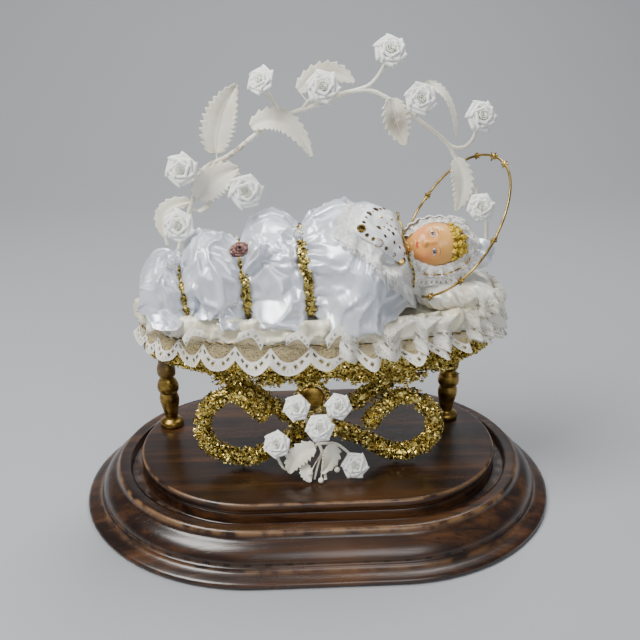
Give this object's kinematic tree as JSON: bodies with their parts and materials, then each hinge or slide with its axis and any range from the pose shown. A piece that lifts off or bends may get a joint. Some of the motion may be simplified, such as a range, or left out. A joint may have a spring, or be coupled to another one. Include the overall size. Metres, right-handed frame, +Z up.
{
  "type": "wax infant cradle figure",
  "caption": "Wax infant swaddled in gathered satin on a lace-edged gilt cradle under an arch of ribbon roses, with a starry wire halo, on an oval dome base.",
  "frame": {"origin": "centre of the oval base's underside", "axes": "+X from the infant's feet to its head, +Y to the back, +Z up"},
  "size_m": [0.25, 0.182, 0.2416],
  "materials": {
    "walnut": "dark walnut stain under worn satin varnish",
    "gilt_wood": "gilt paint over turned wood, tarnished",
    "gold_bullion": "crushed gold wire crumbs, bright",
    "gold_braid": "gold thread braid",
    "brass_wire": "aged brass",
    "white_satin": "glossy cool-white satin",
    "ivory_satin": "ivory satin",
    "lace": "cotton lace",
    "ribbon": "white ribbon satin",
    "paper": "stiffened ivory cloth and paper-wrapped wire",
    "wax": "polished tinted wax",
    "crystal": "cut clear crystal",
    "rose_stone": "brownish pink cut stone"
  },
  "bodies": {
    "root": {"base_moulding": "walnut", "base_platform": "walnut", "leg_left": "gilt_wood", "leg_right": "gilt_wood", "scroll_a": "gold_bullion", "scroll_b": "gold_bullion", "medallion": "gilt_wood", "medallion_ring": "gold_bullion", "cradle_tray": "gold_bullion", "mattress": "ivory_satin", "lace_valance": "lace", "pillow": "ivory_satin", "pillow_lace": "lace", "swaddling": "white_satin", "band_1": "gold_braid", "band_2": "gold_braid", "band_3": "gold_braid", "gem_1": "crystal", "gem_2": "rose_stone", "gem_3": "crystal", "bib_lace": "lace", "bib": "white_satin", "neck_cord": "gold_braid", "head": "wax", "bonnet": "lace", "halo": "brass_wire", "arch_stem": "paper", "arch_leaf_1": "paper", "arch_leaf_2": "paper", "arch_leaf_3": "paper", "arch_leaf_4": "paper", "arch_leaf_5": "paper", "arch_leaf_6": "paper", "arch_leaf_7": "paper", "arch_leaf_8": "paper", "arch_leaf_9": "paper", "arch_rose_1": "ribbon", "arch_rose_2": "ribbon", "arch_rose_3": "ribbon", "arch_rose_4": "ribbon", "arch_rose_5": "ribbon", "arch_rose_6": "ribbon", "arch_rose_7": "ribbon", "arch_rose_8": "ribbon", "arch_rose_9": "ribbon", "spray_stems": "paper", "spray_leaf_1": "paper", "spray_leaf_2": "paper", "spray_leaf_3": "paper", "spray_rose_1": "ribbon", "spray_rose_2": "ribbon", "spray_rose_3": "ribbon", "spray_rose_4": "ribbon", "spray_rose_5": "ribbon"}
  },
  "joints": []
}
